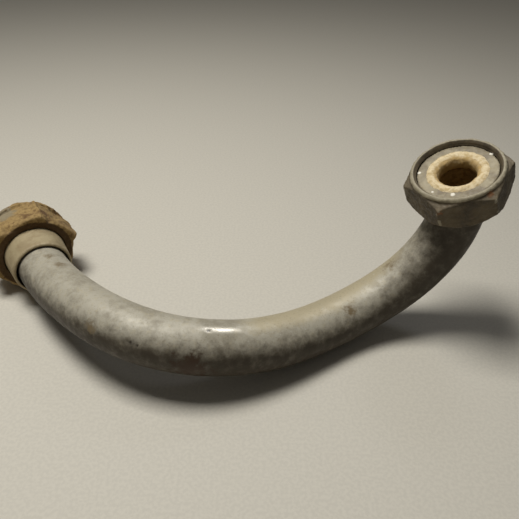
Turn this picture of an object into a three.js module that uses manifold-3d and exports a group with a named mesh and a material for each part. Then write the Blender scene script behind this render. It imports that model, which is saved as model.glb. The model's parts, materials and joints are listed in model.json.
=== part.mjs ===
// A bent pipe with a loose union nut on each end, as it lies on a level floor.
// Millimetres, +Z up, the floor at z = 0.

import * as THREE from 'three';
import { NURBSCurve } from 'three/addons/curves/NURBSCurve.js';
import { mergeVertices } from 'three/addons/utils/BufferGeometryUtils.js';
import Module from 'manifold-3d';

// Tube
const TUBE_DIAMETER = 28;
const TUBE_WALL = 3;
const TUBE_END_ABOVE_FLANGE = 1;
const TUBE_SIDES = 32;
const TUBE_STEPS = 44;

// Sleeve with its flange, one on each end of the tube, tapering a little from the flange to its rim
const LEFT_SLEEVE_LENGTH = 23.4;
const RIGHT_SLEEVE_LENGTH = 14.4;
const SLEEVE_DIAMETER = 35.6;
const SLEEVE_RIM_DIAMETER = 33.6;
const SLEEVE_RIM_CHAMFER = 0.8;
const FLANGE_DIAMETER = 38.4;
const FLANGE_THICKNESS = 3;
const FIT_GAP = 0.3;

// Union nut
const LEFT_NUT_LENGTH = 22.5;
const RIGHT_NUT_LENGTH = 19;
const NUT_ACROSS_FLATS = 46;
const NUT_HOLE_DIAMETER = 36.4;
const NUT_COLLAR_THICKNESS = 3;
const NUT_BORE_DIAMETER = 39;
const NUT_MOUTH_CHAMFER = 1.4;
const LIP_DIAMETER = 45.4;
const LIP_HEIGHT = 2.4;
const LIP_ROUNDING = 0.8;
const FRONT_CHAMFER_SLOPE = Math.tan(THREE.MathUtils.degToRad(30));
const BACK_FACE_DIAMETER = 45.2;
const BACK_SHOULDER_HEIGHT = 6.2;
const ROUND_SEGMENTS = 48;

// How far each nut has slid: from the flange's front face back to the nut's back face
const LEFT_NUT_BACK = FLANGE_THICKNESS + NUT_COLLAR_THICKNESS + FIT_GAP;
const RIGHT_NUT_BACK = 15.5;

// Turn of each nut from having a corner level, in degrees: at 0 the left one lies on a flat
const LEFT_NUT_TURN = 0;
const RIGHT_NUT_TURN = -4.5;

// Ends of the bend, where the tube leaves the sleeves, and the way each end points out
const LEFT_RIM = new THREE.Vector3(-102.6, 14.1, NUT_ACROSS_FLATS / 2);
const LEFT_HEADING = 124.7;
const LEFT_LEAN = 90;
const LEFT_LEAD = 13.8;
const RIGHT_RIM = new THREE.Vector3(125.6, 7.5, 84.3);
const RIGHT_HEADING = -150;
const RIGHT_LEAN = 24.2;
const RIGHT_LEAD = 13.7;

// The four points that pull the bend out of the straight line between its ends
const BEND_POINTS = [
  new THREE.Vector3(-44.4, -57.2, 35.9),
  new THREE.Vector3(23.4, -48, 19.6),
  new THREE.Vector3(76.2, -2.9, 8.1),
  new THREE.Vector3(118.4, 5.3, 38.8),
];

const wasm = await Module();
wasm.setup();

// Unit vector that leans away from straight up, towards a heading in the floor plane
function outwardDirection(headingDegrees, leanDegrees) {
  const heading = THREE.MathUtils.degToRad(headingDegrees);
  const lean = THREE.MathUtils.degToRad(leanDegrees);
  return new THREE.Vector3(
    Math.sin(lean) * Math.cos(heading),
    Math.sin(lean) * Math.sin(heading),
    Math.cos(lean),
  );
}

const leftOut = outwardDirection(LEFT_HEADING, LEFT_LEAN);
const rightOut = outwardDirection(RIGHT_HEADING, RIGHT_LEAN);
const leftFace = LEFT_RIM.clone().addScaledVector(leftOut, LEFT_SLEEVE_LENGTH);
const rightFace = RIGHT_RIM.clone().addScaledVector(rightOut, RIGHT_SLEEVE_LENGTH);

// The tube's centreline: straight through the left sleeve, round the bend, straight through the right
class CentreLine extends THREE.Curve {
  constructor() {
    super();
    const degree = 3;
    const points = [
      LEFT_RIM,
      LEFT_RIM.clone().addScaledVector(leftOut, -LEFT_LEAD),
      ...BEND_POINTS,
      RIGHT_RIM.clone().addScaledVector(rightOut, -RIGHT_LEAD),
      RIGHT_RIM,
    ];
    const spans = points.length - degree;
    const knots = [];
    for (let i = -degree; i <= spans + degree; i += 1) {
      knots.push(THREE.MathUtils.clamp(i / spans, 0, 1));
    }
    this.bend = new NURBSCurve(degree, knots, points);
    this.bendLength = this.bend.getLength();
    this.leftStub = LEFT_SLEEVE_LENGTH + TUBE_END_ABOVE_FLANGE;
    this.rightStub = RIGHT_SLEEVE_LENGTH + TUBE_END_ABOVE_FLANGE;
    this.totalLength = this.leftStub + this.bendLength + this.rightStub;
  }

  getPoint(t, target = new THREE.Vector3()) {
    const along = t * this.totalLength - this.leftStub;
    if (along < 0) {
      return target.copy(LEFT_RIM).addScaledVector(leftOut, -along);
    }
    if (along > this.bendLength) {
      return target.copy(RIGHT_RIM).addScaledVector(rightOut, along - this.bendLength);
    }
    return this.bend.getPointAt(along / this.bendLength, target);
  }

  getTangent(t, target = new THREE.Vector3()) {
    const along = t * this.totalLength - this.leftStub;
    if (along <= 0) {
      return target.copy(leftOut).negate();
    }
    if (along >= this.bendLength) {
      return target.copy(rightOut);
    }
    return this.bend.getTangentAt(along / this.bendLength, target);
  }
}

// Solid with only positions and shared corners
function mergedPositions(geometry) {
  const plain = geometry.index ? geometry.toNonIndexed() : geometry.clone();
  plain.deleteAttribute('normal');
  plain.deleteAttribute('uv');
  return mergeVertices(plain, 1e-4);
}

function toSolid(geometry) {
  const merged = mergedPositions(geometry);
  return new wasm.Manifold(new wasm.Mesh({
    numProp: 3,
    vertProperties: Float32Array.from(merged.attributes.position.array),
    triVerts: Uint32Array.from(merged.index.array),
  }));
}

function toGeometry(solid) {
  const mesh = solid.getMesh();
  const geometry = new THREE.BufferGeometry();
  geometry.setAttribute('position', new THREE.BufferAttribute(mesh.vertProperties, 3));
  geometry.setIndex(new THREE.BufferAttribute(mesh.triVerts, 1));
  geometry.computeVertexNormals();
  return geometry;
}

// Turns an outline of [radius, height] pairs about the Z axis
function turned(outline) {
  const points = outline.map(([radius, height]) => new THREE.Vector2(radius, height));
  const geometry = new THREE.LatheGeometry(points, ROUND_SEGMENTS);
  geometry.rotateX(Math.PI / 2);
  return geometry;
}

function makeTube() {
  const outerRadius = TUBE_DIAMETER / 2;
  const section = new THREE.Shape();
  section.absarc(0, 0, outerRadius, 0, 2 * Math.PI, false);
  const bore = new THREE.Path();
  bore.absarc(0, 0, outerRadius - TUBE_WALL, 0, 2 * Math.PI, true);
  section.holes.push(bore);
  return new THREE.ExtrudeGeometry(section, {
    steps: TUBE_STEPS,
    curveSegments: TUBE_SIDES / 2,
    bevelEnabled: false,
    extrudePath: new CentreLine(),
  });
}

// Flange face at height 0, the sleeve below it
function makeSleeve(length) {
  const inside = TUBE_DIAMETER / 2 + FIT_GAP;
  const outside = SLEEVE_DIAMETER / 2;
  const rim = SLEEVE_RIM_DIAMETER / 2;
  const flange = FLANGE_DIAMETER / 2;
  return turned([
    [inside, -length],
    [rim - SLEEVE_RIM_CHAMFER, -length],
    [rim, -length + SLEEVE_RIM_CHAMFER],
    [outside, -FLANGE_THICKNESS],
    [flange, -FLANGE_THICKNESS],
    [flange, 0],
    [inside, 0],
    [inside, -length],
  ]);
}

// Back face at height 0, the open threaded end at the top
function makeNut(length) {
  const cornerRadius = NUT_ACROSS_FLATS / Math.sqrt(3);
  const beyondCorners = cornerRadius + 1;
  const lip = LIP_DIAMETER / 2;
  const frontChamferEnd = length - LIP_HEIGHT;
  const frontChamferStart = frontChamferEnd - (beyondCorners - lip) * FRONT_CHAMFER_SLOPE;
  const envelope = toSolid(turned([
    [0, 0],
    [BACK_FACE_DIAMETER / 2, 0],
    [beyondCorners, BACK_SHOULDER_HEIGHT],
    [beyondCorners, frontChamferStart],
    [lip, frontChamferEnd],
    [lip, length - LIP_ROUNDING],
    [lip - LIP_ROUNDING, length],
    [0, length],
  ]));
  const hexagon = new THREE.CylinderGeometry(cornerRadius, cornerRadius, 2 * length, 6);
  hexagon.rotateY(Math.PI / 2);
  hexagon.rotateX(Math.PI / 2);
  const hole = NUT_HOLE_DIAMETER / 2;
  const threadedBore = NUT_BORE_DIAMETER / 2;
  const past = 1;
  const mouth = threadedBore + NUT_MOUTH_CHAMFER;
  const hollow = toSolid(turned([
    [0, -past],
    [hole, -past],
    [hole, NUT_COLLAR_THICKNESS],
    [threadedBore, NUT_COLLAR_THICKNESS],
    [threadedBore, length - NUT_MOUTH_CHAMFER],
    [mouth, length],
    [mouth, length + past],
    [0, length + past],
  ]));
  return toGeometry(envelope.intersect(toSolid(hexagon)).subtract(hollow));
}

function makeMaterial(color, roughness, metalness) {
  return new THREE.MeshStandardMaterial({ color, roughness, metalness });
}

function makePart(name, geometry, material) {
  const mesh = new THREE.Mesh(geometry, material);
  mesh.name = name;
  return mesh;
}

// A group on the flange's face whose local +Z points out of the pipe's end and whose +X is level
function makeEnd(faceCentre, outward) {
  const end = new THREE.Group();
  const level = new THREE.Vector3().crossVectors(new THREE.Vector3(0, 0, 1), outward).normalize();
  const across = new THREE.Vector3().crossVectors(outward, level);
  end.position.copy(faceCentre);
  end.setRotationFromMatrix(new THREE.Matrix4().makeBasis(level, across, outward));
  return end;
}

function placeNut(nut, backDistance, turnDegrees) {
  nut.position.z = -backDistance;
  nut.rotation.z = THREE.MathUtils.degToRad(turnDegrees);
  return nut;
}

const pipe = new THREE.Group();
pipe.add(makePart('bent_tube', makeTube(), makeMaterial(0x8f8a7e, 0.55, 0.7)));

const leftEnd = makeEnd(leftFace, leftOut);
leftEnd.add(makePart('sleeve_left', makeSleeve(LEFT_SLEEVE_LENGTH), makeMaterial(0xa79a7a, 0.7, 0.4)));
leftEnd.add(placeNut(
  makePart('nut_left', makeNut(LEFT_NUT_LENGTH), makeMaterial(0x9a7f50, 0.8, 0.3)),
  LEFT_NUT_BACK,
  LEFT_NUT_TURN,
));
pipe.add(leftEnd);

const rightEnd = makeEnd(rightFace, rightOut);
rightEnd.add(makePart('sleeve_right', makeSleeve(RIGHT_SLEEVE_LENGTH), makeMaterial(0x8d887c, 0.6, 0.5)));
rightEnd.add(placeNut(
  makePart('nut_right', makeNut(RIGHT_NUT_LENGTH), makeMaterial(0x5f574a, 0.7, 0.5)),
  RIGHT_NUT_BACK,
  RIGHT_NUT_TURN,
));
pipe.add(rightEnd);

// The origin goes to the floor point below the middle of the whole object
const outline = new THREE.Box3().setFromObject(pipe, true);
const middle = outline.getCenter(new THREE.Vector3());
const part = new THREE.Group();
pipe.position.set(-middle.x, -middle.y, -outline.min.z);
part.add(pipe);

export default part;
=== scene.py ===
"""The looks of a corroded pipe with a union nut on each end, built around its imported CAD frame.

Runs as a script in Blender 4.5. Each group of pieces has an operator, and a sidebar panel lists
them all.
"""

import json
import math

import bmesh
import bpy
from mathutils import Matrix, Vector, noise


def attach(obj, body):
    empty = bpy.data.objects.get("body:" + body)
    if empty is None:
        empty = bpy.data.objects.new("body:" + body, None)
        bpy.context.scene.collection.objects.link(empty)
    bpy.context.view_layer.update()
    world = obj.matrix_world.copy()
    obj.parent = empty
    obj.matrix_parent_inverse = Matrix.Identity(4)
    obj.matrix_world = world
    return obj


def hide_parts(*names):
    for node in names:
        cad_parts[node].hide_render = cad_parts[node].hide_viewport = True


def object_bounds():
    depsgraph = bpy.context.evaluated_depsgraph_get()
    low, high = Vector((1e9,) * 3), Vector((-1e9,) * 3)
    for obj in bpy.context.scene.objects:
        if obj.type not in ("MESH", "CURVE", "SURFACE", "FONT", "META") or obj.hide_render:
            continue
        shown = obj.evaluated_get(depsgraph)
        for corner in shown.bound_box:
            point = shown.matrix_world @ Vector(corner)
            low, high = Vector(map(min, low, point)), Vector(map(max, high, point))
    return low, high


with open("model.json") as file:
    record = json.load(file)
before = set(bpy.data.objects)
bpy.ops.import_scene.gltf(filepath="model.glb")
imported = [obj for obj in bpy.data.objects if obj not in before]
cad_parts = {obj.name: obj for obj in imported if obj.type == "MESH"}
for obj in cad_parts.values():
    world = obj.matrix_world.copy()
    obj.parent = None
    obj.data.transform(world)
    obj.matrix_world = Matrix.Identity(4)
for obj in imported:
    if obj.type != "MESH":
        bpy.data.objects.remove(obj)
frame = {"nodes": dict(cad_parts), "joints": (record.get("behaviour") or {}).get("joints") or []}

bl_info = {
    "name": "Corroded Pipe",
    "version": (1, 0, 0),
    "blender": (4, 5, 0),
    "location": "3D View > Sidebar > Pipe",
    "description": "Builds a corroded bent pipe with a union nut on each end",
    "category": "Object",
}

MM = 0.001
CAD_LOW, CAD_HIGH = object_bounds()

# Sizes of the CAD's own shapes, in millimetres
TUBE_RADIUS = 14.0
TUBE_END = 1.0
BORE_RADIUS = 11.0
SLEEVE_BORE_RADIUS = 14.3
NUT_BORE_RADIUS = 19.5
NUT_FLAT_RADIUS = 23.0
# How near a vertex's radius is to one of these when the vertex lies on that shape
SAME_RADIUS = 0.25
# Vertices of a CAD mesh that are nearer to each other than this are one
WELD_DISTANCE = 0.02
# Radii of the nuts' thread, which the CAD leaves out
THREAD_ROOT_RADIUS = 20.0
THREAD_CREST_RADIUS = 19.55


def millimetres(x, y, z):
    """A place in the part's frame, given in millimetres."""
    return Vector((x, y, z)) * MM


# Pits in the tube's wall: place, radius and depth in millimetres
TUBE_PITS = (
    (millimetres(-37.5, -56.1, 36.5), 1.5, 0.55),
    (millimetres(-34.1, -57.2, 35.8), 1.3, 0.4),
    (millimetres(-1.4, -49.0, 38.9), 1.5, 0.2),
)
# Spots on the tube: place and radius in millimetres
TUBE_RUST = ((millimetres(-9.0, -60.6, 25.0), 17.0),)
TUBE_STAINS = (
    (millimetres(-96.5, 9.5, 37.2), 5.5),
    (millimetres(-87.5, 0.5, 38.6), 6.5),
    (millimetres(-75.0, -26.0, 33.0), 6.0),
    (millimetres(-58.0, -46.0, 36.0), 7.0),
    (millimetres(71.2, -16.4, 26.1), 7.0),
    (millimetres(92.0, 4.0, 44.0), 9.0),
)
# Where handling has worn the coat smooth, so that it shines
TUBE_POLISH = (
    (millimetres(0.5, -48.5, 38.5), 9.0),
    (millimetres(8.5, -46.5, 36.8), 9.0),
)
# Dark patches on the tube, place and radius in millimetres: the big one below the right nut is partly a
# dark patch and partly the nut's painted shadow on the tube; the small one is a smudge
TUBE_SMUDGES_AND_SHADOW = (
    (millimetres(122.0, -4.0, 56.0), 24.0),
    (millimetres(-36.0, -56.5, 36.2), 5.0),
)
# Where the yellowish film starts, is full, fades and ends, in millimetres along X
TINT_START = 2.0
TINT_FULL = 28.0
TINT_FADE = 92.0
TINT_END = 118.0
# The way the film faces
TINT_FACING = Vector((-0.1, 0.55, 0.83))
# The tube's clean, lit side faces this way; the other side gets dirt and painted shade
CLEAN_LIT_SIDE = Vector((0.0, 0.3, 0.95))

# Flakes of scale lying on the right flange: place and radius in millimetres
FLANGE_FLAKES = (
    (millimetres(101.8, 13.6, 92.6), 0.8),
    (millimetres(105.1, -2.2, 90.3), 0.6),
    (millimetres(113.1, -7.7, 92.2), 1.0),
    (millimetres(134.5, 11.8, 104.9), 0.9),
)
# Patches on the nuts: place and radius in millimetres
RIGHT_NUT_RUST = (
    (millimetres(106.6, -13.7, 85.8), 3.0),
    (millimetres(127.5, -14.0, 97.5), 3.5),
)
LEFT_NUT_GREY = (
    (millimetres(-131.3, 39.6, 46.0), 11.0),
    (millimetres(-98.0, 36.0, 38.0), 9.0),
)
LEFT_NUT_BROWN = (
    (millimetres(-108.9, 41.0, 46.0), 6.0),
    (millimetres(-96.5, 29.0, 24.0), 6.0),
)


class PipeEnd:
    """One end of the pipe: the middle of its flange's face, and the direction out of the end."""

    def __init__(self, joint_name):
        joint = next(j for j in frame["joints"] if j["name"] == joint_name)
        self.face = Vector(joint["pos_m"])
        self.out = Vector(joint["axis"]).normalized()
        self.side = self.out.orthogonal().normalized()

    def along(self, place):
        """How far a place lies beyond the flange's face, in millimetres."""
        return (place - self.face).dot(self.out) / MM

    def radius(self, place):
        """How far a place lies from the end's axis, in millimetres."""
        reach = place - self.face
        return (reach - self.out * reach.dot(self.out)).length / MM

    def at(self, along, radius):
        """The place at that distance along the axis and from it, on one side."""
        return self.face + (self.out * along + self.side * radius) * MM

    def with_radius(self, place, radius):
        """The place moved straight out from the axis, or in, to that radius."""
        along = self.along(place)
        foot = self.face + self.out * along * MM
        return foot + (place - foot).normalized() * radius * MM


LEFT_END = PipeEnd("left_nut_turn")
RIGHT_END = PipeEnd("right_nut_turn")


def ease(low, high, value):
    """0 up to low, 1 from high on, and smooth between."""
    share = min(1.0, max(0.0, (value - low) / (high - low)))
    return share * share * (3.0 - 2.0 * share)


def lumps(place, size, octaves=3, seed=0.0):
    """Fractal noise between about -1 and 1, with lumps of that size in millimetres."""
    shifted = place / (size * MM) + Vector((seed, 2.0 * seed, -seed))
    return noise.fractal(shifted, 1.0, 2.0, octaves)


def near(place, spots):
    """1 at the middle of any of the spots, 0 outside all of them."""
    best = 0.0
    for centre, radius in spots:
        best = max(best, 1.0 - (place - centre).length / (radius * MM))
    return max(0.0, best)


# Mesh helpers


def copied_node(node):
    """A CAD node's mesh as a new bmesh, with its loose triangles joined up."""
    bm = bmesh.new()
    bm.from_mesh(frame["nodes"][node].data)
    bmesh.ops.remove_doubles(bm, verts=bm.verts, dist=WELD_DISTANCE * MM)
    bmesh.ops.join_triangles(
        bm,
        faces=bm.faces,
        angle_face_threshold=math.radians(30),
        angle_shape_threshold=math.radians(50),
    )
    return bm


def new_piece(name, bm, modifiers=()):
    """An object at the origin from a bmesh, with the modifiers applied to its mesh."""
    raw = bpy.data.meshes.new(name)
    bm.to_mesh(raw)
    bm.free()
    piece = bpy.data.objects.new(name, raw)
    bpy.context.scene.collection.objects.link(piece)
    for kind, values in modifiers:
        modifier = piece.modifiers.new(kind.title(), kind)
        for key, value in values.items():
            setattr(modifier, key, value)
    graph = bpy.context.evaluated_depsgraph_get()
    piece.data = bpy.data.meshes.new_from_object(piece.evaluated_get(graph))
    piece.modifiers.clear()
    bpy.data.meshes.remove(raw)
    piece.data.name = name
    return piece


def smooth_where(piece, wanted, times):
    """Evens out the vertices that wanted() picks, a number of times."""
    bm = bmesh.new()
    bm.from_mesh(piece.data)
    picked = [v for v in bm.verts if wanted(v.co)]
    for _ in range(times):
        bmesh.ops.smooth_vert(
            bm, verts=picked, factor=0.5, use_axis_x=True, use_axis_y=True, use_axis_z=True
        )
    bm.to_mesh(piece.data)
    bm.free()


def standing_out(mesh, passes=2):
    """How far each vertex stands out from its neighbours: above 0 on an edge, below 0 in a corner."""
    bm = bmesh.new()
    bm.from_mesh(mesh)
    bm.normal_update()
    found = []
    around = []
    for vertex in bm.verts:
        total = 0.0
        for edge in vertex.link_edges:
            other = edge.other_vert(vertex)
            total -= (other.co - vertex.co).dot(vertex.normal) / max(edge.calc_length(), 1e-9)
        found.append(total / max(1, len(vertex.link_edges)))
        around.append([edge.other_vert(vertex).index for edge in vertex.link_edges])
    for _ in range(passes):
        found = [
            (value + sum(found[i] for i in others)) / (1 + len(others))
            for value, others in zip(found, around)
        ]
    bm.free()
    return found


def weather(piece, recipe):
    """Moves each vertex along its normal, and stores the masks that the finish reads.

    A vertex that would leave the CAD box is held at the box's side.
    """
    mesh = piece.data
    normals = [vertex.normal.copy() for vertex in mesh.vertices]
    masks = {}
    for vertex, normal in zip(mesh.vertices, normals):
        offset, found = recipe(vertex.index, vertex.co.copy(), normal)
        place = vertex.co + normal * offset * MM
        vertex.co = [
            min(max(value, low), high) for value, low, high in zip(place, CAD_LOW, CAD_HIGH)
        ]
        for name, value in found.items():
            if name not in masks:
                masks[name] = [0.0] * len(normals)
            masks[name][vertex.index] = value
    for name, values in masks.items():
        attribute = mesh.attributes.new(name, "FLOAT", "POINT")
        attribute.data.foreach_set("value", values)
    mesh.shade_smooth()


def spun(bm, end, profile, steps):
    """Spins a closed outline of (along, radius) points round a pipe end, into a closed ring."""
    points = [bm.verts.new(end.at(along, radius)) for along, radius in profile]
    edges = [bm.edges.new((a, b)) for a, b in zip(points, points[1:] + points[:1])]
    bmesh.ops.spin(
        bm,
        geom=points + edges,
        cent=end.face,
        axis=end.out,
        angle=math.tau,
        steps=steps,
        use_merge=True,
    )
    bmesh.ops.remove_doubles(bm, verts=bm.verts, dist=0.005 * MM)
    bmesh.ops.recalc_face_normals(bm, faces=bm.faces)


def threaded(bm, end, start, stop, pitch):
    """Adds the ridge of a pipe thread, wound between two distances along a pipe end."""
    sunk = 0.6
    foot = 1.0
    tip = 0.25
    crest = THREAD_CREST_RADIUS
    root = THREAD_ROOT_RADIUS + sunk
    profile = ((start - foot, root), (start - tip, crest), (start + tip, crest), (start + foot, root))
    points = [bm.verts.new(end.at(along, radius)) for along, radius in profile]
    edges = [bm.edges.new((a, b)) for a, b in zip(points, points[1:] + points[:1])]
    turns = (stop - start) / pitch
    steps_a_turn = 48
    steps = round(turns * steps_a_turn)
    before = set(bm.faces)
    bmesh.ops.spin(
        bm,
        geom=points + edges,
        cent=end.face,
        axis=end.out,
        dvec=end.out * pitch * MM / steps_a_turn,
        angle=math.tau * steps / steps_a_turn,
        steps=steps,
    )
    rim = [edge for edge in bm.edges if edge.is_boundary]
    bmesh.ops.holes_fill(bm, edges=rim, sides=4)
    bmesh.ops.recalc_face_normals(bm, faces=[face for face in bm.faces if face not in before])


def lump_on(bm, place, radius, flatness, normal):
    """Adds a small flattened ball, sunk into the surface at a place."""
    turn = normal.to_track_quat("Z", "Y").to_matrix().to_4x4()
    shape = Matrix.Diagonal((1.0, 1.0, flatness, 1.0))
    bmesh.ops.create_icosphere(
        bm, subdivisions=2, radius=radius * MM, matrix=Matrix.Translation(place) @ turn @ shape
    )


# Finishes


class Finish:
    """A procedural material, put together one node at a time."""

    def __init__(self, name):
        self.material = bpy.data.materials.new(name)
        self.material.use_nodes = True
        self.nodes = self.material.node_tree.nodes
        self.links = self.material.node_tree.links
        self.shader = self.nodes["Principled BSDF"]
        self.place = self.nodes.new("ShaderNodeTexCoord").outputs["Object"]

    def feed(self, socket, value):
        """Links a node's output to a socket, or sets the socket's own value."""
        if isinstance(value, bpy.types.NodeSocket):
            self.links.new(value, socket)
        elif isinstance(socket, bpy.types.NodeSocketColor):
            socket.default_value = (*value[:3], 1.0)
        else:
            socket.default_value = value

    def grain(self, size, detail=4.0, roughness=0.55, distortion=0.0):
        """Noise from 0 to 1 with features of about that size in millimetres."""
        node = self.nodes.new("ShaderNodeTexNoise")
        self.links.new(self.place, node.inputs["Vector"])
        node.inputs["Scale"].default_value = 1.0 / (size * MM)
        node.inputs["Detail"].default_value = detail
        node.inputs["Roughness"].default_value = roughness
        node.inputs["Distortion"].default_value = distortion
        return node.outputs["Fac"]

    def mask(self, name):
        """A mask that weather() stored on the mesh."""
        node = self.nodes.new("ShaderNodeAttribute")
        node.attribute_name = name
        return node.outputs["Fac"]

    def sum(self, first, second, kind="ADD"):
        """One arithmetic step on two values."""
        node = self.nodes.new("ShaderNodeMath")
        node.operation = kind
        self.feed(node.inputs[0], first)
        self.feed(node.inputs[1], second)
        return node.outputs[0]

    def step(self, value, low, high, to_low=0.0, to_high=1.0):
        """Maps low..high smoothly to to_low..to_high."""
        node = self.nodes.new("ShaderNodeMapRange")
        node.interpolation_type = "SMOOTHSTEP"
        self.feed(node.inputs["Value"], value)
        node.inputs["From Min"].default_value = low
        node.inputs["From Max"].default_value = high
        node.inputs["To Min"].default_value = to_low
        node.inputs["To Max"].default_value = to_high
        return node.outputs["Result"]

    def ragged(self, name, breakup, amount, low, high):
        """A stored mask with its edge broken up by noise."""
        swing = self.sum(self.sum(breakup, 0.5, "SUBTRACT"), amount, "MULTIPLY")
        return self.step(self.sum(self.mask(name), swing), low, high)

    def blend(self, share, first, second):
        """Mixes two colours, from the first at 0 to the second at 1."""
        node = self.nodes.new("ShaderNodeMix")
        node.data_type = "RGBA"
        self.feed(node.inputs[0], share)
        self.feed(node.inputs[6], first)
        self.feed(node.inputs[7], second)
        return node.outputs[2]

    def bump(self, height, depth, strength=1.0):
        """Small relief of that depth in millimetres."""
        node = self.nodes.new("ShaderNodeBump")
        self.feed(node.inputs["Height"], height)
        node.inputs["Distance"].default_value = depth * MM
        self.feed(node.inputs["Strength"], strength)
        self.links.new(node.outputs["Normal"], self.shader.inputs["Normal"])

    def done(self, colour, roughness, metallic=0.0):
        """Feeds the shader and returns the material."""
        self.feed(self.shader.inputs["Base Color"], colour)
        self.feed(self.shader.inputs["Roughness"], roughness)
        self.shader.inputs["Metallic"].default_value = metallic
        self.shader.inputs["Specular IOR Level"].default_value = 0.4
        return self.material


def zinc_finish(looks):
    """Dull zinc coat, mottled, stained and pitted."""
    f = Finish("weathered_zinc")
    clouds = f.grain(22, 4, 0.55)
    mottle = f.grain(5.0, 6, 0.66)
    film = f.grain(2.6, 5, 0.68)
    fine = f.grain(0.9, 3, 0.62)
    mixed = f.sum(f.sum(clouds, 0.45, "MULTIPLY"), f.sum(mottle, 0.55, "MULTIPLY"))
    colour = f.blend(f.step(mixed, 0.42, 0.64), looks.zinc_light, looks.zinc_dark)
    colour = f.blend(f.step(film, 0.5, 0.72, 0.0, 0.5), colour, looks.lime_tint)
    colour = f.blend(f.ragged("tint", mottle, 0.9, 0.2, 1.0), colour, looks.lime_tint)
    colour = f.blend(f.step(film, 0.4, 0.28, 0.0, 0.5), colour, looks.zinc_pale)
    colour = f.blend(f.step(fine, 0.54, 0.72, 0.0, 0.55), colour, looks.zinc_brown)
    # Dark smudges, and the right nut's painted shadow on the tube
    colour = f.blend(f.ragged("dark", mottle, 0.8, 0.2, 1.1), colour, looks.soot_and_shadow)
    # Dirt and painted shade on the underside
    colour = f.blend(f.ragged("grime_and_shade", mottle, 0.9, 0.1, 1.1), colour, looks.grime_and_shade)
    colour = f.blend(f.ragged("stain", film, 1.6, 0.3, 1.0), colour, looks.stain)
    colour = f.blend(f.ragged("rust", mottle, 1.8, 0.4, 0.8), colour, looks.rust)
    colour = f.blend(f.ragged("pit", fine, 0.5, 0.2, 0.7), colour, looks.pit_fill)
    rough = f.sum(1.0, f.sum(f.mask("polish"), 0.9, "MULTIPLY"), "SUBTRACT")
    f.bump(f.sum(mottle, f.sum(fine, 0.4, "MULTIPLY")), 0.14, rough)
    dull = f.step(mixed, 0.35, 0.65, 0.46, 0.64)
    shine = f.sum(f.mask("polish"), 0.3, "MULTIPLY")
    return f.done(colour, f.sum(dull, shine, "SUBTRACT"), 0.1)


def bore_finish(looks):
    """Brown scale on the tube's inner wall."""
    f = Finish("bore_scale")
    crust = f.grain(2.5, 6, 0.65)
    colour = f.blend(f.step(crust, 0.35, 0.65), looks.bore_dark, looks.bore_light)
    f.bump(crust, 0.5)
    return f.done(colour, 0.85)


def scale_finish(looks):
    """Cream lime scale, ochre where water ran."""
    f = Finish("lime_scale")
    crust = f.grain(2.2, 6, 0.62, 0.3)
    fine = f.grain(0.6, 3, 0.6)
    colour = f.blend(f.step(crust, 0.4, 0.66), looks.cream, looks.cream_dark)
    colour = f.blend(f.ragged("depth", crust, 0.5, 0.15, 0.65), colour, looks.ochre_scale)
    colour = f.blend(f.ragged("deep", crust, 0.4, 0.3, 0.8), colour, looks.bore_light)
    f.bump(f.sum(crust, f.sum(fine, 0.4, "MULTIPLY")), 0.35)
    return f.done(colour, f.step(crust, 0.3, 0.7, 0.6, 0.9))


def sleeve_finish(name, looks, light, dark):
    """Steel under a thin coat of scale, with dirt and painted shade at its edges, and white flakes."""
    f = Finish(name)
    clouds = f.grain(9, 5, 0.6, 0.4)
    mottle = f.grain(2.0, 5, 0.65)
    colour = f.blend(f.step(clouds, 0.38, 0.64), light, dark)
    colour = f.blend(f.step(mottle, 0.55, 0.75, 0.0, 0.4), colour, looks.sleeve_ochre)
    # Dirt and painted shade at the rim's inner edge and at the flange's edge
    colour = f.blend(f.ragged("grime_and_shade", mottle, 0.6, 0.3, 0.9), colour, looks.gap_dirt_and_shade)
    colour = f.blend(f.ragged("flake", mottle, 0.3, 0.3, 0.6), colour, looks.flake)
    f.bump(f.sum(clouds, mottle), 0.22)
    return f.done(colour, f.step(mottle, 0.35, 0.65, 0.55, 0.8), 0.1)


def crusted_nut_finish(looks):
    """Malleable iron under ochre rust and scale, brown and grey in patches."""
    f = Finish("ochre_crust")
    clouds = f.grain(8, 5, 0.6, 0.6)
    mottle = f.grain(2.2, 6, 0.66, 0.4)
    fine = f.grain(0.6, 3, 0.6)
    colour = f.blend(f.step(mottle, 0.38, 0.66), looks.ochre, looks.ochre_dark)
    colour = f.blend(f.step(clouds, 0.54, 0.68, 0.0, 0.75), colour, looks.rust_brown)
    colour = f.blend(f.ragged("grey", clouds, 1.4, 0.3, 0.75), colour, looks.crust_grey)
    colour = f.blend(f.ragged("brown", mottle, 1.4, 0.3, 0.8), colour, looks.rust_brown)
    # Rust and painted shade: hollows, the nut's inside and its back face
    colour = f.blend(f.ragged("hollow_and_shade", mottle, 0.8, 0.3, 1.0), colour, looks.rust_and_shade)
    colour = f.blend(f.ragged("edge", mottle, 0.9, 0.45, 1.1), colour, looks.ochre_light)
    f.bump(f.sum(mottle, f.sum(fine, 0.6, "MULTIPLY")), 0.55)
    return f.done(colour, f.step(mottle, 0.3, 0.7, 0.75, 0.95))


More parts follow.
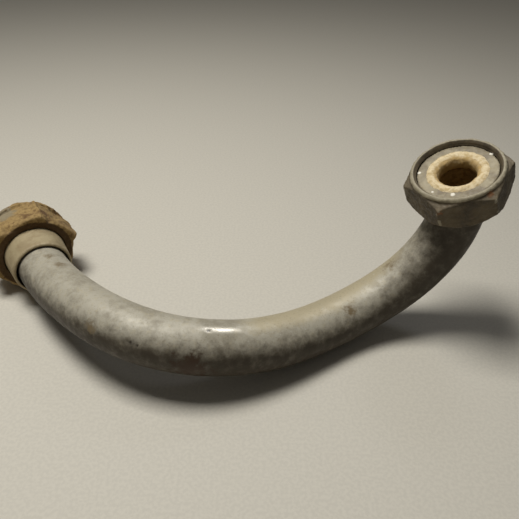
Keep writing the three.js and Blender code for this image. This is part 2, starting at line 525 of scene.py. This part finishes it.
def dark_nut_finish(looks):
    """Dark malleable iron, lighter on worn edges and specked with rust."""
    f = Finish("dark_iron")
    clouds = f.grain(9, 5, 0.6, 0.5)
    mottle = f.grain(1.8, 6, 0.66, 0.4)
    fine = f.grain(0.5, 3, 0.6)
    colour = f.blend(f.step(clouds, 0.36, 0.66), looks.iron, looks.iron_dark)
    colour = f.blend(f.step(mottle, 0.56, 0.74, 0.0, 0.4), colour, looks.iron_pale)
    # Lighter on faces that point up
    colour = f.blend(f.ragged("faces_up", mottle, 1.2, 0.3, 1.3), colour, looks.iron_pale)
    colour = f.blend(f.step(fine, 0.6, 0.72, 0.0, 0.5), colour, looks.iron_rust)
    colour = f.blend(f.ragged("lip", mottle, 0.7, 0.3, 0.9), colour, looks.lip_grey)
    colour = f.blend(f.ragged("rust", mottle, 1.6, 0.4, 0.75), colour, looks.iron_rust)
    # Dirt and painted shade: hollows, the nut's inside and the band under its lip
    colour = f.blend(f.ragged("hollow_and_shade", mottle, 0.7, 0.25, 0.9), colour, looks.iron_dirt_and_shade)
    colour = f.blend(f.ragged("edge", mottle, 1.0, 0.45, 1.0), colour, looks.iron_worn)
    f.bump(f.sum(mottle, f.sum(fine, 0.5, "MULTIPLY")), 0.3)
    return f.done(colour, f.step(mottle, 0.35, 0.65, 0.5, 0.78), 0.15)


def floor_finish(stage):
    """Plain pale floor with a faint fine grain."""
    f = Finish("pale_floor")
    fine = f.grain(1.6, 2, 0.5)
    pale = [value * 0.93 for value in stage.floor_colour]
    colour = f.blend(f.step(fine, 0.35, 0.65), stage.floor_colour, pale)
    return f.done(colour, 0.7)


# Settings


def colour_setting(name, description, default):
    """A colour that a user may change."""
    return bpy.props.FloatVectorProperty(
        name=name, description=description, default=default, subtype="COLOR", size=3, min=0.0, max=1.0
    )


def length_setting(name, description, default):
    """A length in millimetres that a user may change."""
    return bpy.props.FloatProperty(
        name=name, description=f"{description}, in millimetres", default=default, min=0.0, unit="NONE"
    )


def group_setting(kind, name, description):
    """A group of settings inside another."""
    return bpy.props.PointerProperty(type=kind, name=name, description=description)


class TubeSettings(bpy.types.PropertyGroup):
    """Wear and colours of the tube."""

    waviness: length_setting("Waviness", "Height of the wall's long waves", 0.1)
    corrosion: length_setting("Corrosion", "Height of the small corroded lumps", 0.05)
    zinc_light: colour_setting("Zinc, light", "The coat where it is clean", (0.4, 0.365, 0.28))
    zinc_dark: colour_setting("Zinc, dark", "The coat where it is dull", (0.27, 0.24, 0.175))
    zinc_brown: colour_setting("Zinc, brown", "Fine brown specks in the coat", (0.2, 0.165, 0.105))
    zinc_pale: colour_setting("Zinc, pale", "Pale flecks in the coat", (0.5, 0.47, 0.38))
    lime_tint: colour_setting("Lime tint", "Yellowish film along the top", (0.4, 0.34, 0.215))
    # Used for dirt and painted shade on the tube's underside
    grime_and_shade: colour_setting("Grime", "Dirt on the underside", (0.05, 0.038, 0.023))
    # Used for dark smudges and for the right nut's painted shadow on the tube
    soot_and_shadow: colour_setting("Soot", "Dark smudges", (0.1, 0.088, 0.07))
    stain: colour_setting("Stain", "Ochre-brown stains", (0.17, 0.125, 0.065))
    rust: colour_setting("Rust", "Rust on the underside", (0.05, 0.026, 0.011))
    pit_fill: colour_setting("Pit", "Dirt in the pits", (0.03, 0.021, 0.012))
    bore_light: colour_setting("Bore, light", "Scale at the bore's mouth", (0.42, 0.28, 0.11))
    bore_dark: colour_setting("Bore, dark", "Rust inside the bore", (0.25, 0.15, 0.05))


class ScaleSettings(bpy.types.PropertyGroup):
    """Size and colours of the lime scale on the tube's ends."""

    ring_height: length_setting("Ring height", "How far the scale stands beyond the tube's end", 0.7)
    lining_depth: length_setting("Lining depth", "How far the scale reaches into the bore", 7.5)
    lining_thickness: length_setting("Lining thickness", "Thickness of the scale in the bore", 2.1)
    cream: colour_setting("Cream", "Clean lime scale", (0.68, 0.55, 0.33))
    cream_dark: colour_setting("Cream, dark", "Dirty lime scale", (0.5, 0.37, 0.18))
    ochre_scale: colour_setting("Ochre", "Scale just inside the bore", (0.45, 0.3, 0.11))
    bore_light: colour_setting("Brown", "Scale at the lining's far edge", (0.22, 0.12, 0.038))


class SleeveSettings(bpy.types.PropertyGroup):
    """Wear and colours of the two sleeves."""

    wear: length_setting("Wear", "Height of the lumps on the sleeves", 0.1)
    gap: length_setting("Gap", "Width of the gap between the left sleeve's rim and the tube", 0.9)
    seal_scale: length_setting("Seal scale", "Thickness of the scale on the flange's face", 0.9)
    grid: length_setting("Grid", "Size of the mesh's faces", 0.5)
    left_light: colour_setting("Left, light", "The left sleeve's scale", (0.36, 0.29, 0.165))
    left_dark: colour_setting("Left, dark", "The left sleeve's dull patches", (0.27, 0.205, 0.11))
    right_light: colour_setting("Right, light", "The right flange's scale", (0.33, 0.28, 0.18))
    right_dark: colour_setting("Right, dark", "The right flange's dull patches", (0.19, 0.155, 0.1))
    sleeve_ochre: colour_setting("Ochre", "Rust stains", (0.3, 0.21, 0.09))
    # Used for dirt and painted shade at each sleeve's rim and flange's edge
    gap_dirt_and_shade: colour_setting("Gap dirt", "Dirt at the rim and the flange's edge", (0.05, 0.038, 0.024))
    flake: colour_setting("Flake", "Flakes of scale on the flange", (0.75, 0.7, 0.58))


class NutSettings(bpy.types.PropertyGroup):
    """Wear, thread and colours of the two union nuts."""

    left_lumps: length_setting("Left lumps", "Height of the rust lumps on the left nut", 0.75)
    crust_lean: bpy.props.FloatProperty(
        name="Crust lean",
        description="How far round the left nut's crust leans",
        default=math.radians(11.0),
        subtype="ANGLE",
    )
    crust_collar: length_setting("Crust collar", "Radius of the crust at the left nut's mouth", 25.6)
    crust_thickness: length_setting("Crust thickness", "Thickness of the crust on top of the left nut", 0.8)
    right_lumps: length_setting("Right lumps", "Height of the wear on the right nut", 0.28)
    thread_pitch: length_setting("Thread pitch", "Distance between the thread's turns", 2.309)
    grid: length_setting("Grid", "Size of the mesh's faces", 0.42)
    ochre: colour_setting("Ochre", "The left nut's crust", (0.33, 0.215, 0.075))
    ochre_dark: colour_setting("Ochre, dark", "The crust's dull parts", (0.22, 0.14, 0.05))
    ochre_light: colour_setting("Ochre, light", "The crust on worn edges", (0.42, 0.3, 0.125))
    rust_brown: colour_setting("Brown rust", "Brown patches", (0.12, 0.06, 0.018))
    # Used for rust and painted shade: hollows, the left nut's inside and its back face
    rust_and_shade: colour_setting("Deep rust", "Rust in the hollows", (0.085, 0.046, 0.014))
    crust_grey: colour_setting("Grey crust", "Grey patches", (0.25, 0.2, 0.115))
    iron: colour_setting("Iron", "The right nut's faces", (0.125, 0.097, 0.056))
    iron_dark: colour_setting("Iron, dark", "The right nut's dark patches", (0.06, 0.046, 0.028))
    # Used for pale mottling, and to lighten faces that point up
    iron_pale: colour_setting("Dust", "Dust on the right nut", (0.22, 0.175, 0.105))
    iron_rust: colour_setting("Rust specks", "Rust on the right nut", (0.2, 0.085, 0.028))
    # Used for dirt and painted shade: the right nut's hollows, its inside and the band under its lip
    iron_dirt_and_shade: colour_setting("Iron, deep", "Dirt in the hollows", (0.042, 0.031, 0.018))
    iron_worn: colour_setting("Worn edge", "Bare metal on the edges", (0.3, 0.265, 0.19))
    lip_grey: colour_setting("Lip", "The right nut's lip", (0.29, 0.25, 0.165))


class StageSettings(bpy.types.PropertyGroup):
    """Floor, lamps and camera."""

    floor_colour: colour_setting("Floor", "Colour of the floor", (0.56, 0.52, 0.43))
    key_power: bpy.props.FloatProperty(
        name="Key lamp", description="Power of the soft panel overhead", default=6.6, min=0.0, unit="POWER"
    )
    lamp_power: bpy.props.FloatProperty(
        name="Small lamp", description="Power of the small lamp behind", default=3.4, min=0.0, unit="POWER"
    )
    room_light: bpy.props.FloatProperty(
        name="Room light",
        description="Strength of the light from all around",
        default=0.1,
        min=0.0,
        unit="NONE",
    )
    lens: bpy.props.FloatProperty(
        name="Lens", description="Focal length of the camera", default=37.39, min=1.0, unit="CAMERA"
    )


class PipeSettings(bpy.types.PropertyGroup):
    """All settings of the corroded pipe."""

    tube: group_setting(TubeSettings, "Tube", "Wear and colours of the tube")
    scale: group_setting(ScaleSettings, "Scale", "The scale on the ends")
    sleeves: group_setting(SleeveSettings, "Sleeves", "The two sleeves")
    nuts: group_setting(NutSettings, "Nuts", "The two union nuts")
    stage: group_setting(StageSettings, "Stage", "Floor, lamps and camera")


# Operators


class MakeTube(bpy.types.Operator):
    """Build the bent tube with its waves, pits and stains"""

    bl_idname = "pipe.make_tube"
    bl_label = "Make Tube"

    # Material indices of the outer wall's coat and of the scale in the bore
    coat = 0
    bore = 1
    rim_angle = math.radians(60)
    # Lengths in millimetres
    longest_edge = 1.2
    end_reach = 20.0
    bore_lumps = 0.3
    coat_loss = 0.12
    rust_height = 0.25

    def execute(self, context):
        looks = context.scene.corroded_pipe.tube
        bm = copied_node("bent_tube")
        crease = bm.edges.layers.float.new("crease_edge")
        sharp = {e for e in bm.edges if e.is_manifold and e.calc_face_angle() > self.rim_angle}
        for edge in sharp:
            edge[crease] = 1.0
        outermost = min(bm.verts, key=lambda vertex: vertex.co.y)
        wall = self.faces_around(outermost, sharp)
        for face in bm.faces:
            face.material_index = self.coat if face in wall else self.bore
        subdivision = {"levels": 2, "render_levels": 2, "use_creases": True}
        tube = new_piece("weathered_tube", bm, [("SUBSURF", subdivision)])
        self.cut_rings(tube)
        coated = [face for face in tube.data.polygons if face.material_index == self.coat]
        outside = {index for face in coated for index in face.vertices}
        weather(tube, lambda index, place, normal: self.wear(looks, index in outside, place, normal))
        tube.data.materials.append(zinc_finish(looks))
        tube.data.materials.append(bore_finish(looks))
        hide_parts("bent_tube")
        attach(tube, "pipe")
        return {"FINISHED"}

    def faces_around(self, vertex, fences):
        """All faces that can be reached from a vertex without crossing a fence edge."""
        found = set(vertex.link_faces)
        waiting = list(found)
        while waiting:
            face = waiting.pop()
            for edge in face.edges:
                if edge in fences:
                    continue
                fresh = [other for other in edge.link_faces if other not in found]
                found.update(fresh)
                waiting.extend(fresh)
        return found

    def cut_rings(self, tube):
        """Halves the outer wall's long edges, so that its faces are nearly square."""
        bm = bmesh.new()
        bm.from_mesh(tube.data)
        long_edges = [
            edge
            for edge in bm.edges
            if edge.calc_length() > self.longest_edge * MM
            and all(face.material_index == self.coat for face in edge.link_faces)
        ]
        bmesh.ops.subdivide_edges(bm, edges=long_edges, cuts=1, use_grid_fill=True)
        bm.to_mesh(tube.data)
        bm.free()

    def past_end(self, end, place):
        """How far a place near one end lies beyond its flange's face, or well inside the pipe."""
        is_near = (place - end.face).length < self.end_reach * MM
        return end.along(place) if is_near else -self.end_reach

    def wear(self, looks, outside, place, normal):
        """One vertex's offset in millimetres, and its masks."""
        if not outside:
            inside = min(ease(-2.0, -6.0, self.past_end(end, place)) for end in (LEFT_END, RIGHT_END))
            return self.bore_lumps * inside * lumps(place, 3.0), {}
        polish = ease(0.0, 0.6, near(place, TUBE_POLISH))
        patchy = ease(0.05, 0.5, lumps(place, 16.0, 2, 9.0))
        small = looks.corrosion * lumps(place, 3.0, 3, 5.0)
        small -= patchy * self.coat_loss * max(0.0, lumps(place, 1.8, 2, 3.0))
        offset = looks.waviness * lumps(place, 24.0, 2) + (1.0 - 0.9 * polish) * small
        pit = 0.0
        for centre, radius, depth in TUBE_PITS:
            share = 1.0 - (place - centre).length / (radius * MM)
            if share > 0.0:
                pit = max(pit, share)
                offset -= depth * ease(0.0, 0.8, share)
        rust = near(place, TUBE_RUST)
        offset += self.rust_height * rust * max(0.0, lumps(place, 3.5, 3, 7.0))
        x = place.x / MM
        span = ease(TINT_START, TINT_FULL, x) * (1.0 - ease(TINT_FADE, TINT_END, x))
        masks = {
            "pit": pit,
            "rust": rust,
            "stain": near(place, TUBE_STAINS),
            "polish": polish,
            # Smudges, and the right nut's painted shadow on the tube
            "dark": near(place, TUBE_SMUDGES_AND_SHADOW),
            "tint": span * ease(0.2, 0.95, normal.dot(TINT_FACING)),
            # Dirt and painted shade: darker the further a face points from the clean, lit side
            "grime_and_shade": min(1.0, max(0.0, 0.95 - 1.25 * normal.dot(CLEAN_LIT_SIDE))),
        }
        return offset, masks


class MakeScale(bpy.types.Operator):
    """Build the ring of lime scale on each end of the tube and in its bore"""

    bl_idname = "pipe.make_scale"
    bl_label = "Make Scale"

    ring_steps = 96

    def execute(self, context):
        looks = context.scene.corroded_pipe.scale
        finish = scale_finish(looks)
        for side, end in (("left", LEFT_END), ("right", RIGHT_END)):
            inner = BORE_RADIUS - looks.lining_thickness
            top = TUBE_END + looks.ring_height
            depth = -looks.lining_depth
            profile = (
                (-0.4, TUBE_RADIUS + 0.9),
                (0.7, TUBE_RADIUS + 1.0),
                (1.1, TUBE_RADIUS + 0.4),
                (top - 0.25, TUBE_RADIUS - 0.3),
                (top, TUBE_RADIUS - 1.4),
                (top - 0.35, TUBE_RADIUS - 2.7),
                (0.3, inner + 0.9),
                (-1.6, inner + 0.15),
                (depth + 2.5, inner),
                (depth, BORE_RADIUS + 0.05),
                (depth, BORE_RADIUS + 1.2),
                (-0.6, TUBE_RADIUS - 1.0),
            )
            bm = bmesh.new()
            spun(bm, end, profile, self.ring_steps)
            bmesh.ops.subdivide_edges(bm, edges=bm.edges, cuts=1, use_grid_fill=True)
            subdivision = {"levels": 1, "render_levels": 1}
            ring = new_piece(f"lime_scale_{side}", bm, [("SUBSURF", subdivision)])
            weather(ring, lambda index, place, normal, end=end: self.wear(looks, end, place))
            ring.data.materials.append(finish)
            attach(ring, "pipe")
        return {"FINISHED"}

    def wear(self, looks, end, place):
        """One vertex's offset in millimetres, and its masks."""
        along = end.along(place)
        radius = end.radius(place)
        ragged = lumps(place, 3.2, 3, 2.0)
        offset = 0.1 * lumps(place, 1.2, 2) + 0.28 * ragged
        inward = ease(12.0, 10.4, radius)
        down = ease(0.8, -3.5, along + ragged)
        return offset, {"depth": max(0.5 * inward, down), "deep": ease(-4.0, -6.6, along + ragged)}


class MakeSleeves(bpy.types.Operator):
    """Build the flanged sleeve on each end of the tube"""

    bl_idname = "pipe.make_sleeves"
    bl_label = "Make Sleeves"

    rim_depth = 0.1
    flake_flatness = 0.6
    flake_spread = 1.5

    def execute(self, context):
        looks = context.scene.corroded_pipe.sleeves
        self.make(looks, "left", LEFT_END, looks.left_light, looks.left_dark, ())
        self.make(looks, "right", RIGHT_END, looks.right_light, looks.right_dark, FLANGE_FLAKES)
        return {"FINISHED"}

    def make(self, looks, side, end, light, dark, flakes):
        """One sleeve, opened a little at its rim."""
        bm = copied_node(f"sleeve_{side}")
        rim = min(end.along(vertex.co) for vertex in bm.verts)
        for vertex in bm.verts:
            at_bore = abs(end.radius(vertex.co) - SLEEVE_BORE_RADIUS) < SAME_RADIUS
            if at_bore and end.along(vertex.co) < rim + self.rim_depth:
                vertex.co = end.with_radius(vertex.co, TUBE_RADIUS + looks.gap)
        bmesh.ops.triangulate(bm, faces=bm.faces)
        for place, radius in flakes:
            foot = place - end.out * end.along(place) * MM
            lump_on(bm, foot, radius, self.flake_flatness, end.out)
        grid = {"mode": "VOXEL", "voxel_size": looks.grid * MM}
        sleeve = new_piece(f"weathered_sleeve_{side}", bm, [("REMESH", grid)])
        weather(sleeve, lambda index, place, normal: self.wear(looks, end, rim, flakes, place, normal))
        sleeve.data.materials.append(sleeve_finish(f"scaled_steel_{side}", looks, light, dark))
        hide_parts(f"sleeve_{side}")
        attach(sleeve, "pipe")

    def wear(self, looks, end, rim, flakes, place, normal):
        """One vertex's offset in millimetres, and its masks."""
        along = end.along(place)
        radius = end.radius(place)
        free = ease(14.8, 16.0, radius) * (1.0 - 0.75 * ease(18.6, 19.0, radius))
        offset = looks.wear * free * (lumps(place, 6.0, 3) + 0.5 * lumps(place, 1.5, 2, 4.0)) - 0.03
        seal = ease(0.6, 0.9, normal.dot(end.out)) * ease(-0.8, -0.3, along)
        offset += seal * (looks.seal_scale + 0.15 * lumps(place, 2.5, 3, 6.0))
        # Dirt and painted shade where the rim meets the tube and at the flange's edge
        inner_edge = ease(15.9, 14.9, radius) * ease(rim + 2.0, rim, along)
        flange_edge = ease(18.9, 19.25, radius)
        spread = [(centre, reach * self.flake_spread) for centre, reach in flakes]
        flake = near(end.with_radius(place, radius), spread)
        return offset, {"grime_and_shade": max(inner_edge, 0.6 * flange_edge), "flake": flake}


class MakeNuts(bpy.types.Operator):
    """Build the two union nuts with their threads, lumps and worn edges"""

    bl_idname = "pipe.make_nuts"
    bl_label = "Make Nuts"

    left_softening = 6
    right_softening = 2
    # Lengths in millimetres
    thread_from_back = 4.6
    thread_from_mouth = 1.7
    softened_from = 21.6

    def execute(self, context):
        looks = context.scene.corroded_pipe.nuts
        left = self.make(looks, "left", LEFT_END, self.left_softening)
        self.crusted(looks, left)
        weather(left, self.left_recipe(looks, standing_out(left.data)))
        self.finish(left, "left", crusted_nut_finish(looks))
        right = self.make(looks, "right", RIGHT_END, self.right_softening)
        weather(right, self.right_recipe(looks, standing_out(right.data)))
        self.finish(right, "right", dark_nut_finish(looks))
        return {"FINISHED"}

    def make(self, looks, side, end, softening):
        """A nut from the CAD's shape, with a wound thread in its bore, as one skin."""
        bm = copied_node(f"nut_{side}")
        mouth = max(end.along(vertex.co) for vertex in bm.verts)
        back = min(end.along(vertex.co) for vertex in bm.verts)
        for vertex in bm.verts:
            radius = end.radius(vertex.co)
            if abs(radius - NUT_BORE_RADIUS) < SAME_RADIUS:
                vertex.co = end.with_radius(vertex.co, THREAD_ROOT_RADIUS)
        bmesh.ops.remove_doubles(bm, verts=bm.verts, dist=WELD_DISTANCE * MM)
        bmesh.ops.triangulate(bm, faces=bm.faces)
        start = back + self.thread_from_back
        stop = mouth - self.thread_from_mouth
        threaded(bm, end, start, stop, looks.thread_pitch)
        grid = {"mode": "VOXEL", "voxel_size": looks.grid * MM}
        nut = new_piece(f"weathered_nut_{side}", bm, [("REMESH", grid)])
        smooth_where(nut, lambda place: end.radius(place) > self.softened_from, softening)
        return nut

    def crusted(self, looks, nut):
        """Leans the left nut's upper outline, and builds a crust on it and a collar at its mouth."""
        sideways = LEFT_END.out.cross(Vector((0.0, 0.0, 1.0))).normalized()
        upwards = sideways.cross(LEFT_END.out)
        lean = looks.crust_lean
        mouth = max(LEFT_END.along(vertex.co) for vertex in nut.data.vertices)
        for vertex in nut.data.vertices:
            foot = LEFT_END.face + LEFT_END.out * LEFT_END.along(vertex.co) * MM
            reach = vertex.co - foot
            angle = math.atan2(reach.dot(upwards), reach.dot(sideways))
            share = ease(20.5, 22.8, reach.length / MM) * ease(7.0, 17.0, vertex.co.z / MM)
            grown = reach.length * self.flat_reach(angle - lean) / self.flat_reach(angle)
            collar = looks.crust_collar * MM * ease(mouth - 6.0, mouth - 3.4, LEFT_END.along(vertex.co))
            reached = max(grown + looks.crust_thickness * MM, collar)
            vertex.co = foot + reach * (1.0 + share * (reached / reach.length - 1.0))

    def flat_reach(self, angle):
        """Distance in millimetres from a six-sided nut's axis to its side, with a flat on top."""
        sector = math.pi / 3.0
        offset = abs((angle - math.pi / 2.0 + sector / 2.0) % sector - sector / 2.0)
        return NUT_FLAT_RADIUS / math.cos(offset)

    def left_recipe(self, looks, stand):
        """The left nut's wear: lumpy outside, plain where it bears on the sleeve."""

        def recipe(index, place, normal):
            radius = LEFT_END.radius(place)
            along = LEFT_END.along(place)
            outside = ease(19.5, 22.8, radius)
            height = lumps(place, 7.0, 3)
            offset = outside * looks.left_lumps * (height - 0.15) + 0.05 * lumps(place, 1.5, 2, 3.0)
            offset += outside * 0.12 * lumps(place, 1.6, 3, 8.0)
            # Painted shade on the nut's flat back face
            shade = ease(22.9, 21.6, radius) * ease(-4.8, -5.8, along)
            masks = {
                "edge": ease(0.0, 0.25, stand[index]) * outside,
                # Rust and painted shade: concave spots, the back face and the nut's inside
                "hollow_and_shade": max(ease(0.0, -0.2, stand[index]), shade, 0.75 * (1.0 - outside)),
                "grey": near(place, LEFT_NUT_GREY),
                "brown": max(near(place, LEFT_NUT_BROWN), 0.5 * ease(0.0, -0.5, height) * outside),
            }
            return offset, masks

        return recipe

    def right_recipe(self, looks, stand):
        """The right nut's wear: light on its faces, with pale corners and a rough lip."""

        def recipe(index, place, normal):
            radius = RIGHT_END.radius(place)
            along = RIGHT_END.along(place)
            outside = ease(19.5, 22.4, radius)
            offset = outside * looks.right_lumps * (lumps(place, 6.0, 3) + 0.5 * lumps(place, 2.2, 3, 5.0))
            offset += 0.03 * lumps(place, 1.5, 2, 3.0)
            lip = ease(1.4, 2.2, along) * ease(20.6, 21.2, radius)
            # A band under the lip, darkened as the lip's painted shadow
            undercut = ease(-1.6, 0.2, along) * ease(1.9, 1.1, along) * ease(21.8, 22.4, radius)
            offset += 0.22 * lip * (lumps(place, 3.0, 3, 8.0) - 0.3)
            worn_corner = ease(25.5, 26.3, radius) * ease(-0.15, 0.35, lumps(place, 3.5, 3, 9.0))
            masks = {
                "edge": max(ease(0.0, 0.17, stand[index]), worn_corner) * outside,
                # Lighter on faces that point up
                "faces_up": ease(-0.1, 0.9, normal.z) * outside,
                # Dirt and painted shade: concave spots, the nut's inside and the lip's painted shadow
                "hollow_and_shade": max(
                    ease(0.0, -0.22, stand[index]),
                    0.25 * (1.0 - ease(20.3, 21.0, radius)),
                    0.5 * undercut,
                ),
                "lip": lip,
                "rust": near(place, RIGHT_NUT_RUST),
            }
            return offset, masks

        return recipe

    def finish(self, nut, side, material):
        """Gives a nut its finish and its place on its body."""
        nut.data.materials.append(material)
        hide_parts(f"nut_{side}")
        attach(nut, f"{side}_nut")


class MakeStage(bpy.types.Operator):
    """Lay the floor, hang the lamps and set up the camera"""

    bl_idname = "pipe.make_stage"
    bl_label = "Make Stage"

    # Places and lengths in metres, and angles in radians
    floor_reach = 3.0
    aim = Vector((0.0, 0.0, 0.03))
    key_direction = Vector((-0.28, 0.05, 1.0))
    key_distance = 0.8
    key_size = 0.3
    lamp_direction = Vector((0.29, 0.51, 0.79))
    lamp_distance = 0.9
    lamp_size = 0.17
    room_colour = (1.0, 0.98, 0.95, 1.0)
    nearest = 0.01
    camera_place = Vector((0.02165, -0.23673, 0.21448))
    camera_pitch = 0.6183
    camera_roll = -0.0305
    # In millimetres, as a lens's length is
    sensor_width = 36.0

    def execute(self, context):
        stage = context.scene.corroded_pipe.stage
        bm = bmesh.new()
        bmesh.ops.create_grid(bm, x_segments=1, y_segments=1, size=self.floor_reach)
        floor = new_piece("floor", bm)
        floor.data.materials.append(floor_finish(stage))
        self.hang("key_panel", self.key_direction, self.key_distance, self.key_size, stage.key_power)
        lamp = self.hang(
            "small_lamp", self.lamp_direction, self.lamp_distance, self.lamp_size, stage.lamp_power
        )
        # The small lamp only gives the bright spot on the tube
        lamp.visible_diffuse = False
        world = bpy.data.worlds.new("soft_room")
        world.use_nodes = True
        sky = world.node_tree.nodes["Background"]
        sky.inputs["Color"].default_value = self.room_colour
        sky.inputs["Strength"].default_value = stage.room_light
        context.scene.world = world
        context.scene.view_settings.view_transform = "Standard"
        self.place_camera(context, stage)
        return {"FINISHED"}

    def hang(self, name, direction, distance, size, power):
        """A square area lamp at a distance in a direction from the aim, facing it."""
        light = bpy.data.lights.new(name, "AREA")
        light.size = size
        light.energy = power
        lamp = bpy.data.objects.new(name, light)
        lamp.location = self.aim + direction.normalized() * distance
        lamp.rotation_euler = direction.to_track_quat("Z", "Y").to_euler()
        bpy.context.scene.collection.objects.link(lamp)
        return lamp

    def place_camera(self, context, stage):
        """The camera at the photograph's viewing angle."""
        data = bpy.data.cameras.new("photo_camera")
        data.sensor_width = self.sensor_width
        data.lens = stage.lens
        data.clip_start = self.nearest
        across = Vector((1.0, 0.0, 0.0))
        up = Vector((0.0, math.sin(self.camera_pitch), math.cos(self.camera_pitch)))
        rolled_across = across * math.cos(self.camera_roll) - up * math.sin(self.camera_roll)
        rolled_up = across * math.sin(self.camera_roll) + up * math.cos(self.camera_roll)
        turn = Matrix((rolled_across, rolled_up, rolled_across.cross(rolled_up))).transposed()
        camera = bpy.data.objects.new("photo_camera", data)
        camera.matrix_world = Matrix.Translation(self.camera_place) @ turn.to_4x4()
        context.scene.collection.objects.link(camera)
        context.scene.camera = camera


OPERATORS = (MakeTube, MakeScale, MakeSleeves, MakeNuts, MakeStage)


class PipePanel(bpy.types.Panel):
    """Lists the operators and settings in the sidebar."""

    bl_idname = "VIEW3D_PT_corroded_pipe"
    bl_label = "Corroded Pipe"
    bl_space_type = "VIEW_3D"
    bl_region_type = "UI"
    bl_category = "Pipe"

    def draw(self, context):
        for operator in OPERATORS:
            self.layout.operator(operator.bl_idname)
        settings = context.scene.corroded_pipe
        for name in ("tube", "scale", "sleeves", "nuts", "stage"):
            box = self.layout.box()
            box.label(text=name.title())
            group = getattr(settings, name)
            for key in group.bl_rna.properties.keys():
                if key not in ("rna_type", "name"):
                    box.prop(group, key)


CLASSES = (
    TubeSettings,
    ScaleSettings,
    SleeveSettings,
    NutSettings,
    StageSettings,
    PipeSettings,
    *OPERATORS,
    PipePanel,
)


def register():
    for kind in CLASSES:
        bpy.utils.register_class(kind)
    bpy.types.Scene.corroded_pipe = bpy.props.PointerProperty(type=PipeSettings)


def unregister():
    del bpy.types.Scene.corroded_pipe
    for kind in reversed(CLASSES):
        bpy.utils.unregister_class(kind)


def main():
    register()
    bpy.ops.pipe.make_stage()
    bpy.ops.pipe.make_tube()
    bpy.ops.pipe.make_scale()
    bpy.ops.pipe.make_sleeves()
    bpy.ops.pipe.make_nuts()


if __name__ == "__main__":
    main()
